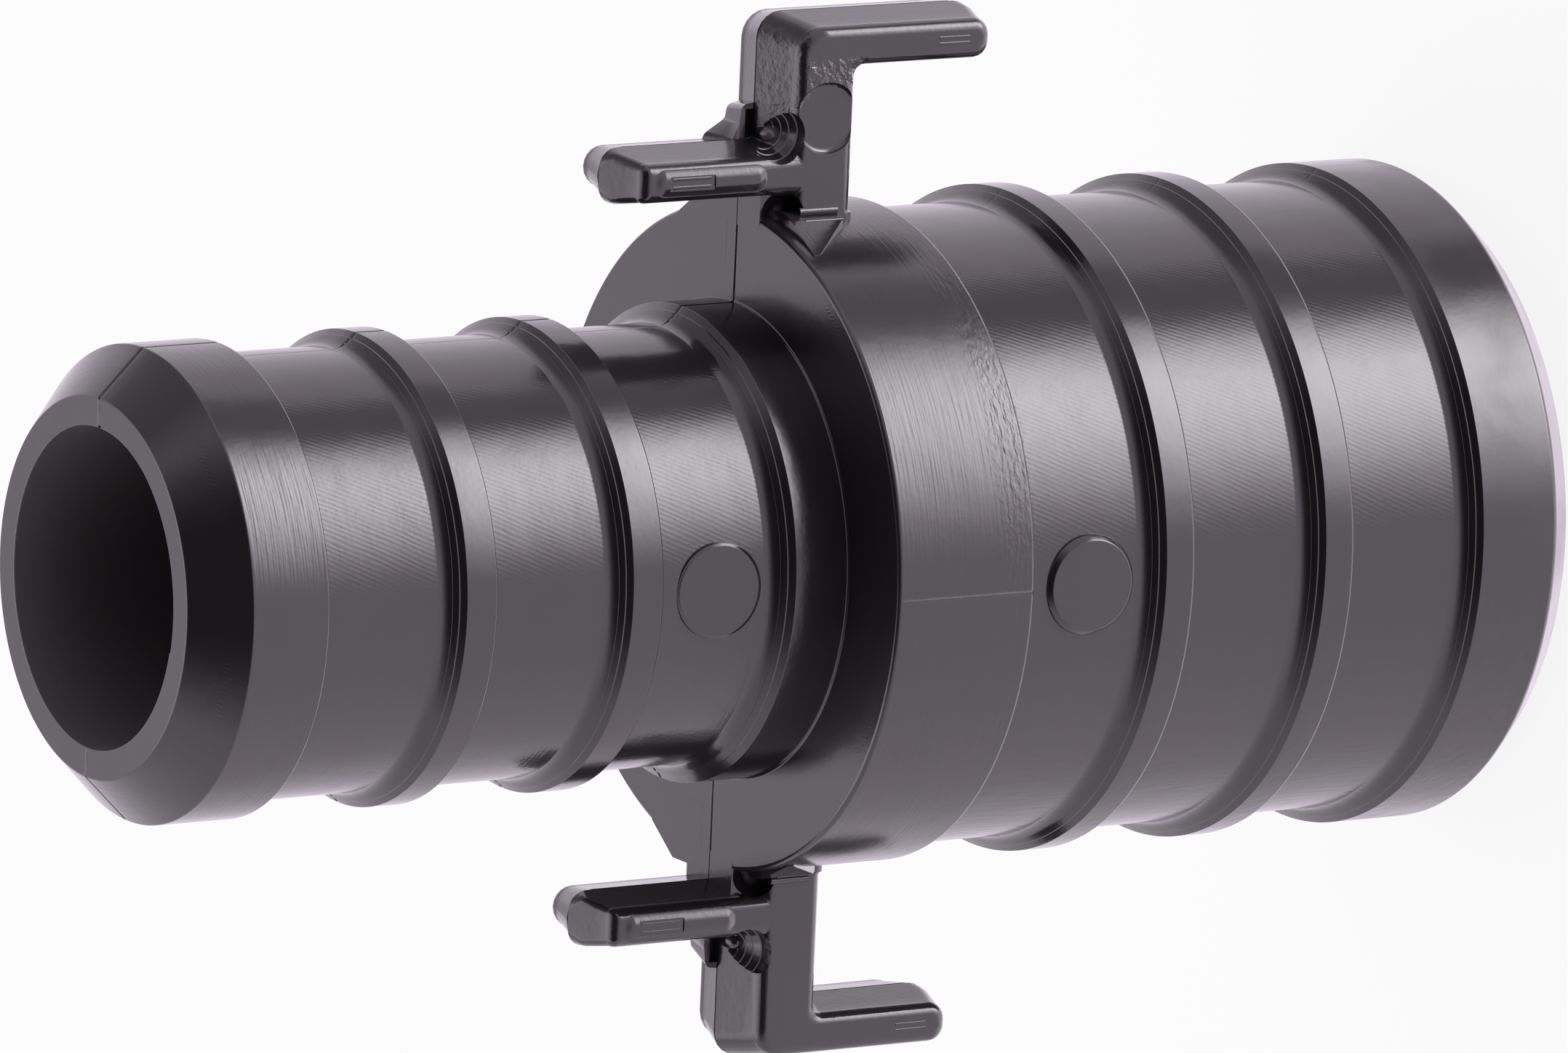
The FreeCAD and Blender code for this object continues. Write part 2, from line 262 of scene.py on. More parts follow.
def rounded(corners, steps=None):
    """Points of a closed outline whose corners (u, v, radius) are rounded where radius isn't 0."""
    points = []
    for index, (u, v, radius) in enumerate(corners):
        here = Vector((u, v))
        if radius == 0:
            points.append(here)
            continue
        before = Vector(corners[index - 1][:2]) - here
        after = Vector(corners[(index + 1) % len(corners)][:2]) - here
        half = before.angle(after) / 2
        reach = radius / math.tan(half)
        start = here + before.normalized() * reach
        finish = here + after.normalized() * reach
        middle = (before.normalized() + after.normalized()).normalized()
        centre = here + middle * (radius / math.sin(half))
        first = start - centre
        turn = first.angle_signed(finish - centre)
        parts = steps or sum(radius > least for least in ARC_SIZES)
        for step in range(parts + 1):
            arm = first.copy()
            arm.rotate(Matrix.Rotation(-turn * step / parts, 2))
            points.append(centre + arm)
    return points


def flank(land, crest, top):
    """Hollow flank of a rib: down two thin steps, then out along the land on a wide curve."""
    slope = (crest - land) / (FLANK_RUN - FLANK_TREAD * 2)
    points = [(crest, top, CREST_EDGE)]
    radius = crest
    last = 0
    for start in FLANK_STEPS:
        radius -= slope * (start - last)
        last = start + FLANK_TREAD
        points += [(radius, top + start, TREAD_EDGE), (radius, top + last, TREAD_EDGE)]
    return points + [(land, top + FLANK_RUN, FLANK_HOLLOW)]


def rib(land, crest, top, edge):
    """One rib: a steep face towards the large end and a hollow flank towards the small end."""
    bottom = top - RIB_CREST
    return [(land, bottom, LAND_CORNER), (crest, bottom, edge)] + flank(land, crest, top)


lip_bottom = FULL_LENGTH - SMALL_LIP
first_small_rib = lip_bottom - RIB_PITCH * 2 + RIB_CREST
body_outline = rounded(
    [
        (LARGE_BORE, 0, LARGE_BORE_EDGE),
        (LARGE_CREST - TIP_BEVEL[0], 0, TIP_EDGES[0]),
        (LARGE_CREST, TIP_BEVEL[1], TIP_EDGES[1]),
    ]
    + flank(LARGE_LAND, LARGE_CREST, LARGE_LIP)
    + rib(LARGE_LAND, LARGE_CREST, LARGE_LIP + RIB_PITCH, LARGE_RIB_EDGE)
    + rib(LARGE_LAND, LARGE_CREST, LARGE_LIP + RIB_PITCH * 2, LARGE_RIB_EDGE)
    + [
        (LARGE_LAND, COLLAR_BOTTOM, LAND_CORNER),
        (COLLAR_RADIUS, COLLAR_BOTTOM, COLLAR_EDGE),
        (COLLAR_RADIUS, COLLAR_TOP, COLLAR_EDGE),
        (SHOULDER_RADIUS, COLLAR_TOP, SHOULDER_EDGE),
    ]
    + flank(SMALL_LAND, SHOULDER_RADIUS, COLLAR_TOP + SHOULDER_LENGTH)
    + rib(SMALL_LAND, SMALL_CREST, first_small_rib, SMALL_RIB_EDGE)
    + rib(SMALL_LAND, SMALL_CREST, first_small_rib + RIB_PITCH, SMALL_RIB_EDGE)
    + [
        (SMALL_LAND, lip_bottom, LIP_CORNER),
        (SMALL_CREST, lip_bottom, SMALL_RIB_EDGE),
        (SMALL_CREST, FULL_LENGTH - MOUTH_BEVEL, MOUTH_EDGES[0]),
        (SMALL_CREST - MOUTH_BEVEL, FULL_LENGTH, MOUTH_EDGES[1]),
        (SMALL_BORE, FULL_LENGTH, MOUTH_EDGES[2]),
        (SMALL_BORE, COLLAR_BOTTOM + BORE_STEP, BORE_STEP_EDGE),
        (LARGE_BORE, COLLAR_BOTTOM, BORE_STEP_EDGE),
    ]
)


def bump_across(tree, distance, width):
    """1 at distance 0 and falling smoothly to 0 over the width."""
    ratio = calc(tree, "DIVIDE", distance, width)
    square = calc(tree, "MULTIPLY", ratio, ratio)
    return calc(tree, "EXPONENT", calc(tree, "MULTIPLY", square, -1.0))


def diagonal(tree, first, second):
    """Length of the diagonal across two sides."""
    squares = calc(tree, "ADD", calc(tree, "POWER", first, 2.0), calc(tree, "POWER", second, 2.0))
    return calc(tree, "SQRT", squares)


def between(tree, value, low, high):
    """1 where the value lies between low and high, else 0."""
    above = calc(tree, "GREATER_THAN", value, low)
    return calc(tree, "MULTIPLY", above, calc(tree, "LESS_THAN", value, high))


plastic = bpy.data.materials.new("charcoal_plastic")

turning = bpy.data.node_groups.new("turned_body", "GeometryNodeTree")
face = turning.interface
face.new_socket("Outline", in_out="INPUT", socket_type="NodeSocketGeometry")
face.new_socket("Body", in_out="OUTPUT", socket_type="NodeSocketGeometry")
body_sizes = {
    "Segments": 384,
    "Crowding": 0.75,
    "Parting depth": 0.035,
    "Parting width": 0.035,
    "Bore radius": LARGE_BORE + 0.1,
    "Mouth radius": SMALL_BORE + 0.1,
    "Weld height": 0.045,
    "Weld width": 0.05,
    "Weld bottom": COLLAR_BOTTOM + 0.1,
    "Weld top": COLLAR_TOP - 0.25,
    "Land width": 0.12,
    "Left on lands": 0.25,
    "Left below the collar": 0.1,
    "Seam": 0.0002,
}
for name, value in body_sizes.items():
    kind = "NodeSocketInt" if isinstance(value, int) else "NodeSocketFloat"
    face.new_socket(name, in_out="INPUT", socket_type=kind)
face.new_socket("Plastic", in_out="INPUT", socket_type="NodeSocketMaterial")
entry = turning.nodes.new("NodeGroupInput").outputs
count = turning.nodes.new("GeometryNodeAttributeDomainSize")
turning.links.new(entry["Outline"], count.inputs["Geometry"])
around = calc(turning, "ADD", entry["Segments"], 1.0)
grid = turning.nodes.new("GeometryNodeMeshGrid")
turning.links.new(count.outputs["Point Count"], grid.inputs["Vertices X"])
turning.links.new(around, grid.inputs["Vertices Y"])
index = turning.nodes.new("GeometryNodeInputIndex").outputs[0]
along = calc(turning, "FLOOR", calc(turning, "DIVIDE", calc(turning, "ADD", index, 0.5), around))
turned = calc(turning, "SUBTRACT", index, calc(turning, "MULTIPLY", along, around))
angle = calc(turning, "MULTIPLY", calc(turning, "DIVIDE", turned, entry["Segments"]), math.tau)
CROWDED_LINES = 4.0
wave = calc(turning, "SINE", calc(turning, "MULTIPLY", angle, CROWDED_LINES))
shift = calc(turning, "MULTIPLY", calc(turning, "DIVIDE", entry["Crowding"], CROWDED_LINES), wave)
angle = calc(turning, "SUBTRACT", angle, shift)
place = turning.nodes.new("GeometryNodeInputPosition").outputs[0]
outline_point = turning.nodes.new("GeometryNodeSampleIndex")
outline_point.data_type = "FLOAT_VECTOR"
turning.links.new(entry["Outline"], outline_point.inputs["Geometry"])
turning.links.new(place, outline_point.inputs["Value"])
turning.links.new(along, outline_point.inputs["Index"])
apart = turning.nodes.new("ShaderNodeSeparateXYZ")
turning.links.new(outline_point.outputs[0], apart.inputs[0])
spun = turning.nodes.new("ShaderNodeCombineXYZ")
aside = calc(turning, "MULTIPLY", apart.outputs["X"], calc(turning, "SINE", angle))
turning.links.new(aside, spun.inputs["X"])
behind = calc(turning, "MULTIPLY", apart.outputs["X"], calc(turning, "COSINE", angle))
turning.links.new(calc(turning, "MULTIPLY", behind, -1.0), spun.inputs["Y"])
turning.links.new(apart.outputs["Z"], spun.inputs["Z"])
spin = turning.nodes.new("GeometryNodeSetPosition")
turning.links.new(grid.outputs["Mesh"], spin.inputs["Geometry"])
turning.links.new(spun.outputs[0], spin.inputs["Position"])
weld_seam = turning.nodes.new("GeometryNodeMergeByDistance")
turning.links.new(spin.outputs[0], weld_seam.inputs["Geometry"])
turning.links.new(entry["Seam"], weld_seam.inputs["Distance"])
outward = turning.nodes.new("GeometryNodeFlipFaces")
turning.links.new(weld_seam.outputs[0], outward.inputs["Mesh"])
here = turning.nodes.new("ShaderNodeSeparateXYZ")
turning.links.new(place, here.inputs[0])
across, depth, height = here.outputs
radius = diagonal(turning, across, depth)
outside_large = calc(turning, "GREATER_THAN", radius, entry["Bore radius"])
outside_small = calc(turning, "GREATER_THAN", radius, entry["Mouth radius"])
high = calc(turning, "GREATER_THAN", height, COLLAR_TOP - 0.1)
skin = calc(turning, "MAXIMUM", outside_large, calc(turning, "MULTIPLY", outside_small, high))
groove = bump_across(turning, depth, entry["Parting width"])
groove = calc(turning, "MULTIPLY", groove, entry["Parting depth"])
ridge = bump_across(turning, across, entry["Weld width"])
ridge = calc(turning, "MULTIPLY", ridge, entry["Weld height"])
on_collar_side = between(turning, height, entry["Weld bottom"], entry["Weld top"])
ridge = calc(turning, "MULTIPLY", ridge, on_collar_side)
ridge = calc(turning, "MULTIPLY", ridge, calc(turning, "LESS_THAN", depth, 0.0))
off_large = calc(turning, "SUBTRACT", radius, LARGE_LAND)
off_small = calc(turning, "SUBTRACT", radius, SMALL_LAND)
near_large = bump_across(turning, off_large, entry["Land width"])
near_small = bump_across(turning, off_small, entry["Land width"])
plain = calc(turning, "MAXIMUM", near_large, calc(turning, "MULTIPLY", near_small, high))
faded = calc(turning, "MULTIPLY", plain, calc(turning, "SUBTRACT", 1.0, entry["Left on lands"]))
groove = calc(turning, "MULTIPLY", groove, calc(turning, "SUBTRACT", 1.0, faded))
low_share = entry["Left below the collar"]
above_share = calc(turning, "MULTIPLY", high, calc(turning, "SUBTRACT", 1.0, low_share))
groove = calc(turning, "MULTIPLY", groove, calc(turning, "ADD", above_share, low_share))
relief = calc(turning, "MULTIPLY", calc(turning, "SUBTRACT", ridge, groove), skin)
normal = turning.nodes.new("GeometryNodeInputNormal").outputs[0]
push = turning.nodes.new("ShaderNodeVectorMath")
push.operation = "SCALE"
turning.links.new(normal, push.inputs[0])
turning.links.new(relief, push.inputs["Scale"])
emboss = turning.nodes.new("GeometryNodeSetPosition")
turning.links.new(outward.outputs[0], emboss.inputs["Geometry"])
turning.links.new(push.outputs[0], emboss.inputs["Offset"])
whole = turning.nodes.new("GeometryNodeRealizeInstances")
turning.links.new(emboss.outputs[0], whole.inputs[0])
paint = turning.nodes.new("GeometryNodeSetMaterial")
turning.links.new(whole.outputs[0], paint.inputs["Geometry"])
turning.links.new(entry["Plastic"], paint.inputs["Material"])
turning.links.new(paint.outputs[0], turning.nodes.new("NodeGroupOutput").inputs["Body"])


def plain_mesh(thing, name):
    """The thing's evaluated shape as a plain mesh."""
    bpy.context.view_layer.update()
    seen = thing.evaluated_get(bpy.context.evaluated_depsgraph_get())
    mesh = bpy.data.meshes.new_from_object(seen)
    mesh.name = name
    return mesh


def add_object(name, mesh):
    thing = bpy.data.objects.new(name, mesh)
    bpy.context.scene.collection.objects.link(thing)
    return thing


outline_mesh = bpy.data.meshes.new("body_outline")
closed_outline = body_outline + body_outline[:1]
outline_mesh.from_pydata([(point.x, 0, point.y) for point in closed_outline], [], [])
moulding = add_object("moulded_coupling", outline_mesh)
spinner = moulding.modifiers.new("turned_body", "NODES")
spinner.node_group = turning
for item in face.items_tree:
    if item.in_out == "INPUT" and item.name in body_sizes:
        spinner[item.identifier] = body_sizes[item.name]
    if item.in_out == "INPUT" and item.name == "Plastic":
        spinner[item.identifier] = plastic
moulding.data = plain_mesh(moulding, "moulded_coupling")
moulding.modifiers.clear()


def close_up(mesh):
    """Merge doubles and turn every face outwards."""
    work = bmesh.new()
    work.from_mesh(mesh)
    bmesh.ops.remove_doubles(work, verts=work.verts, dist=0.0001)
    bmesh.ops.recalc_face_normals(work, faces=work.faces)
    work.to_mesh(mesh)
    work.free()


close_up(moulding.data)


def combine(target, tool, operation):
    """Join or cut the target with the tool, and drop the tool."""
    step = target.modifiers.new(operation, "BOOLEAN")
    step.operation = operation
    step.solver = "MANIFOLD"
    step.object = tool
    target.data = plain_mesh(target, target.name)
    target.modifiers.clear()
    bpy.data.objects.remove(tool)


def prism(name, outline, low, high, axis):
    """A straight solid between two levels: outline points are (x, z) along Y or (x, y) along Z."""
    work = bmesh.new()
    rings = []
    for level in (low, high):
        ring = []
        for point in outline:
            spot = (point[0], level, point[1]) if axis == "Y" else (point[0], point[1], level)
            ring.append(work.verts.new(spot))
        rings.append(ring)
    work.faces.new(rings[0])
    work.faces.new(rings[1])
    for index in range(len(outline)):
        after = (index + 1) % len(outline)
        work.faces.new((rings[0][index], rings[0][after], rings[1][after], rings[1][index]))
    bmesh.ops.recalc_face_normals(work, faces=work.faces)
    mesh = bpy.data.meshes.new(name)
    work.to_mesh(mesh)
    work.free()
    return add_object(name, mesh)


def circle(x, y, radius, sides=96):
    turns = [math.tau * side / sides for side in range(sides)]
    return [(x + radius * math.cos(turn), y + radius * math.sin(turn)) for turn in turns]


# Mouth ledge: the core pin leaves a thin step inside the near half of the small mouth.
# It runs from the parting line a little past the front.
LEDGE_WIDTH = 0.08
LEDGE_DEPTH = 0.06
LEDGE_START = math.radians(90)
LEDGE_END = math.radians(-12)
LEDGE_STEPS = 40
pie = [(0, 0)]
for step in range(LEDGE_STEPS + 1):
    turn = LEDGE_START + (LEDGE_END - LEDGE_START) * step / LEDGE_STEPS
    reach = SMALL_BORE + LEDGE_WIDTH
    pie.append((reach * math.sin(turn), -reach * math.cos(turn)))
ledge = prism("mouth_ledge", pie, FULL_LENGTH - LEDGE_DEPTH, FULL_LENGTH + 1, "Z")
combine(moulding, ledge, "DIFFERENCE")

# Ejector pads: two flat round faces where the mould's pins push on the lands.
# They stand a hair proud in front and more at their sides, with an eased rim.
PAD_RADIUS = 1.24
PAD_ROOT = 1.0
PAD_EDGE = ((0.06, 0.0), (0.02, 0.008), (0.0, 0.025))
PAD_SLOPE_SHARE = (0.2, 0.75)
PAD_SUNK = 0.02
PAD_SIDES = 96
PADS = ((SMALL_LAND, COLLAR_TOP + 3.67, 0.05, 0.05), (LARGE_LAND, COLLAR_BOTTOM - 1.92, 0.15, 0.12))


def lathe(name, centre, profile, sides=64):
    """A solid turned about an axis along Y through centre (x, z): its profile is (radius, y)."""
    work = bmesh.new()
    rings = []
    for radius, y in profile:
        if radius == 0:
            rings.append([work.verts.new((centre[0], y, centre[1]))])
            continue
        ring = []
        for x, z in circle(*centre, radius, sides):
            ring.append(work.verts.new((x, y, z)))
        rings.append(ring)
    for ring, following in zip(rings, rings[1:]):
        for index in range(sides):
            after = (index + 1) % sides
            corners = [ring[index % len(ring)], ring[after % len(ring)]]
            corners += [following[after % len(following)], following[index % len(following)]]
            work.faces.new(list(dict.fromkeys(corners)))
    bmesh.ops.recalc_face_normals(work, faces=work.faces)
    mesh = bpy.data.meshes.new(name)
    work.to_mesh(mesh)
    work.free()
    return add_object(name, mesh)


for land, centre, rise, slope in PADS:
    front = -(land + rise)
    foot = PAD_RADIUS + slope
    pad = [(0, front)] + [(PAD_RADIUS - inset, front + drop) for inset, drop in PAD_EDGE]
    pad += [(foot - slope * PAD_SLOPE_SHARE[0], front + rise * PAD_SLOPE_SHARE[1])]
    pad += [(foot, front + rise + PAD_SUNK)]
    pad += [(foot, front + PAD_ROOT), (0, front + PAD_ROOT)]
    combine(moulding, lathe("pad", (0, centre), pad, PAD_SIDES), "UNION")

# Arms: a stem out from the collar with a finger towards each end, drawn in from the parting
# plane to both faces, and rounded along the faces' edges. The second arm mirrors the first.
ARM_HALF_WIDTH = 1.62
EDGE_PROFILE = (
    (0.40, 0.0, 0.0),
    (0.32, 0.0, 0.0),
    (0.24, 0.01, 0.02),
    (0.16, 0.04, 0.05),
    (0.10, 0.08, 0.09),
    (0.05, 0.14, 0.14),
    (0.018, 0.21, 0.20),
    (0.0, 0.30, 0.27),
)
DRAFT_OUT = 0.23
DRAFT_ALONG = 0.44
DRAFT_BELOW = 0.32
STEM_TOP = COLLAR_TOP - 0.37
STEM_BOTTOM = STEM_TOP - 2.52
STEM_CORNER = 0.70
STEM_FILLET = 0.35
FOOT_FILLET = 0.10
FOOT_OUT = COLLAR_RADIUS + 0.06
SMALL_FINGER_IN = 9.28
SMALL_FINGER_OUT = SMALL_FINGER_IN + 1.52
SMALL_FINGER_TIP = COLLAR_TOP + 4.36
LARGE_FINGER_THICKNESS = 1.54
LARGE_FINGER_TIP = COLLAR_BOTTOM - 2.80
ARM_ROOT = COLLAR_RADIUS - 1.54
PARTED_ROUNDS = (0.75, 0.70, 0.75)
FACE_ROUNDS = (0.18, 0.24, 0.46)
PARTED_EASE = 0.4
EASE_PACE = 4
LEAST_ROUND = 0.06
ROUND_CLEARANCE = 0.01
FINGER_FILLET = 0.08
PARTED_LEVEL = (0.03, 0.02)
DRAFT_SHARES = (0.15, 0.35, 0.7)
PARTED_INSET = 0.025
FAR_DRAFT = 0.85
ARM_STEPS = 5


def arm_outline(share, inset, top_inset, eased=1.0):
    """The arm's outline at a share of its draft, inset at an edge. Eased 1 gives the face's rounds."""
    out = DRAFT_OUT * share + inset
    in_along = DRAFT_BELOW * share + inset
    from_top = DRAFT_ALONG * share + top_inset
    pairs = zip(PARTED_ROUNDS, FACE_ROUNDS)
    most = (SMALL_FINGER_OUT - SMALL_FINGER_IN) / 2 - out - ROUND_CLEARANCE
    rounds = (parted + (faced - parted) * eased - inset for parted, faced in pairs)
    nose, brow, tip = (min(max(wanted, LEAST_ROUND), most) for wanted in rounds)
    bottom = STEM_BOTTOM + in_along
    foot = bottom - FOOT_FILLET - ROUND_CLEARANCE
    top = STEM_TOP - from_top
    far_in = ARM_REACH - LARGE_FINGER_THICKNESS + out
    return rounded(
        [
            (ARM_ROOT, foot, 0),
            (FOOT_OUT, foot, 0),
            (FOOT_OUT, bottom, FOOT_FILLET),
            (far_in, bottom, STEM_FILLET),
            (far_in, LARGE_FINGER_TIP + in_along, tip),
            (ARM_REACH - out, LARGE_FINGER_TIP + in_along, tip),
            (ARM_REACH - out, top, STEM_CORNER),
            (SMALL_FINGER_OUT - out, top, FINGER_FILLET),
            (SMALL_FINGER_OUT - out, SMALL_FINGER_TIP - from_top, brow),
            (SMALL_FINGER_IN + out, SMALL_FINGER_TIP - from_top, nose),
            (SMALL_FINGER_IN + out, top, FINGER_FILLET),
            (ARM_ROOT, top, 0),
        ],
        ARM_STEPS,
    )


def stacked(name, outline_at, levels):
    """A closed solid through outlines in X and Z at the levels (y, share, inset, top inset)."""
    work = bmesh.new()
    rings = []
    for y, *drawn in levels:
        rings.append([work.verts.new((point.x, y, point.y)) for point in outline_at(*drawn)])
    work.faces.new(rings[0])
    work.faces.new(rings[-1])
    for ring, following in zip(rings, rings[1:]):
        for index in range(len(ring)):
            after = (index + 1) % len(ring)
            work.faces.new((ring[index], ring[after], following[after], following[index]))
    bmesh.ops.recalc_face_normals(work, faces=work.faces)
    work.normal_update()
    bmesh.ops.triangulate(work, faces=[cap for cap in work.faces if len(cap.verts) > 4])
    mesh = bpy.data.meshes.new(name)
    work.to_mesh(mesh)
    work.free()
    return add_object(name, mesh)


def eased_levels(front):
    """Levels over a cut edge, eased at both of its lines, up to a face at the height front."""
    return [(front - back, 1.0, inset, top_inset) for back, inset, top_inset in EDGE_PROFILE]


def arm_solid(name):
    first = ARM_HALF_WIDTH - EDGE_PROFILE[0][0]
    half = [(*PARTED_LEVEL, 0.0, 0.0)]
    half += [(first * part, part, 0.0, 0.0) for part in DRAFT_SHARES]
    half += eased_levels(ARM_HALF_WIDTH)
    near = []
    far = []
    for y, share, inset, top_inset in half:
        eased = max(PARTED_EASE, min(share * EASE_PACE, 1))
        near.insert(0, (-y, share, inset, top_inset, eased))
        far.append((y, share * FAR_DRAFT, inset, inset, 0.0))
    return stacked(name, arm_outline, near + [(0.0, 0.0, PARTED_INSET, PARTED_INSET, 0.0)] + far)


def hull(name, points):
    """The convex solid round the points."""
    work = bmesh.new()
    for point in points:
        work.verts.new(point)
    bmesh.ops.convex_hull(work, input=work.verts)
    loose = [vert for vert in work.verts if not vert.link_faces]
    bmesh.ops.delete(work, geom=loose, context="VERTS")
    bmesh.ops.recalc_face_normals(work, faces=work.faces)
    mesh = bpy.data.meshes.new(name)
    work.to_mesh(mesh)
    work.free()
    return add_object(name, mesh)


# Root block of the small finger, a drafted gusset on the far side only, the stepped gate hollow
# with its broken nub, and the foot that spreads the stem into the collar under a small bead
BLOCK_RISE = 0.10
BLOCK_LENGTH = 0.62
BLOCK_SUNK = 0.04
BLOCK_ROOT = 0.55
BLOCK_PAST_FINGER = 0.04
BLOCK_EDGE = 0.1
GUSSET_WIDTH = 1.25
GUSSET_DRAFT = 0.30
GATE_CENTRE = (SMALL_FINGER_OUT + 0.30, STEM_TOP + 0.02)
GATE_BOWL = (
    (0, -0.30),
    (0.20, -0.34),
    (0.33, -0.50),
    (0.36, -0.51),
    (0.46, -0.68),
    (0.49, -0.69),
    (0.58, -0.88),
    (0.61, -0.89),
    (0.70, -1.12),
    (0.73, -1.13),
    (0.76, -ARM_HALF_WIDTH * 2),
    (0, -ARM_HALF_WIDTH * 2),
)
GUSSET_HOLLOW = (SMALL_FINGER_OUT + 0.02, SMALL_FINGER_OUT + 0.80, STEM_TOP - 0.02, STEM_TOP + 0.25)
GUSSET_HOLLOW_DEPTH = 0.30
BOX_EDGE = 0.05
RECESS_EDGE = 0.03
HIDDEN_STEP = 0.01
NUB_CENTRE = (SMALL_FINGER_OUT + 0.16, STEM_TOP - 0.26)
NUB = (
    (0, -0.68),
    (0.08, -0.665),
    (0.15, -0.61),
    (0.20, -0.52),
    (0.24, -0.36),
    (0.26, -0.10),
    (0, -0.10),
)
POCKET = (8.98, -1.35, 20.86)
POCKET_RADIUS = 0.58
POCKET_STEPS = 12
POCKET_SIDES = 32
BRIDGE = (COLLAR_RADIUS - 0.42, SMALL_FINGER_IN + 0.3, STEM_BOTTOM + 1.0, COLLAR_TOP + 0.003)
BRIDGE_NEAR = 1.15
PARTING_GAP = 0.02
FOOT_POINTS = (
    (8.90, 1.98, 20.97),
    (8.90, 1.98, 19.36),
    (9.02, 1.55, 20.90),
    (9.02, 1.55, 19.36),
    (8.25, 3.42, 21.10),
    (8.27, 3.38, 20.88),
    (ARM_ROOT, 2.40, 20.90),
    (ARM_ROOT, 2.40, 19.60),
)
FAR_BRIDGE = ((8.30, 3.05), (9.10, 1.90), (9.10, 0.50), (ARM_ROOT, 0.50), (ARM_ROOT, 3.05))
FAR_BRIDGE_LEVELS = (COLLAR_TOP - 0.8, COLLAR_TOP + 0.002)
BEADS = ((9.07, 1.62, 0.11), (8.87, 1.97, 0.05))
BEAD_LEVELS = (STEM_BOTTOM + DRAFT_BELOW + 0.50, STEM_TOP - DRAFT_ALONG - 0.10)
BEAD_SIDES = 20
PLATE = (SMALL_FINGER_IN + 0.40, SMALL_FINGER_OUT - 0.38, COLLAR_TOP + 0.08, SMALL_FINGER_TIP - 0.78)
PLATE_END_SHARE = 0.47
PLATE_SUNK = 0.2
PLATE_RIM = (
    (0.0, 0.0),
    (0.04, 0.006),
    (0.09, 0.024),
    (0.15, 0.05),
    (0.21, 0.073),
    (0.26, 0.086),
    (0.30, 0.09),
)
RECESS = (9.84, 10.24, COLLAR_TOP + 1.74, COLLAR_TOP + 3.12)
RECESS_DEPTH = 0.04
RECESS_FLOOR = RECESS_DEPTH - ARM_HALF_WIDTH - PLATE_RIM[-1][1]
BOX_CORNER_STEPS = 8
RIDGE_RADIUS = 0.06
RIDGE_RISE = 0.015
RIDGE_SIDES = 12
RIDGES = (
    (9.94, RECESS_FLOOR, RECESS[2] + 0.12, RECESS[3] - 0.08),
    (10.16, RECESS_FLOOR, RECESS[2] + 0.12, RECESS[3] - 0.08),
    (13.36, -ARM_HALF_WIDTH, 15.42, 16.37),
    (13.52, -ARM_HALF_WIDTH, 15.42, 16.37),
)


def box_outline(box, ends):
    """A rectangle (low x, high x, low z, high z) whose corners at both ends of z are rounded."""
    left, right, bottom, top = box
    corners = [(left, bottom, ends[0]), (right, bottom, ends[0])]
    corners += [(right, top, ends[1]), (left, top, ends[1])]
    return rounded(corners, BOX_CORNER_STEPS)


def block_outline(share, inset, top_inset):
    bottom = STEM_TOP - DRAFT_ALONG - BLOCK_ROOT
    block_in = SMALL_FINGER_IN + DRAFT_OUT - BLOCK_PAST_FINGER + inset
    block_out = SMALL_FINGER_OUT - DRAFT_OUT + BLOCK_RISE - inset
    top = STEM_TOP - DRAFT_ALONG + BLOCK_LENGTH
    foot = [(block_in, bottom, 0), (block_out, bottom, 0)]
    return rounded(foot + [(block_out, top, BLOCK_EDGE), (block_in, top, BLOCK_EDGE)])


def gusset_outline(share):
    low = SMALL_FINGER_OUT - DRAFT_OUT * 2
    drawn = GUSSET_DRAFT * share
    return rounded(
        [
            (low, STEM_TOP - DRAFT_ALONG, 0),
            (low, STEM_TOP + 0.45 + 0.40 * share, 0),
            (SMALL_FINGER_OUT - 0.06, STEM_TOP + 0.44 + 0.33 * share, 0.30),
            (SMALL_FINGER_OUT + 0.42 - drawn * 0.3, STEM_TOP + 0.42 - drawn, 0.22),
            (SMALL_FINGER_OUT + 0.92 - drawn * 0.7, STEM_TOP + 0.36 - drawn, 0.20),
            (SMALL_FINGER_OUT + 1.02 - drawn * 0.7, STEM_TOP - DRAFT_ALONG, 0),
        ],
        ARM_STEPS,
    )


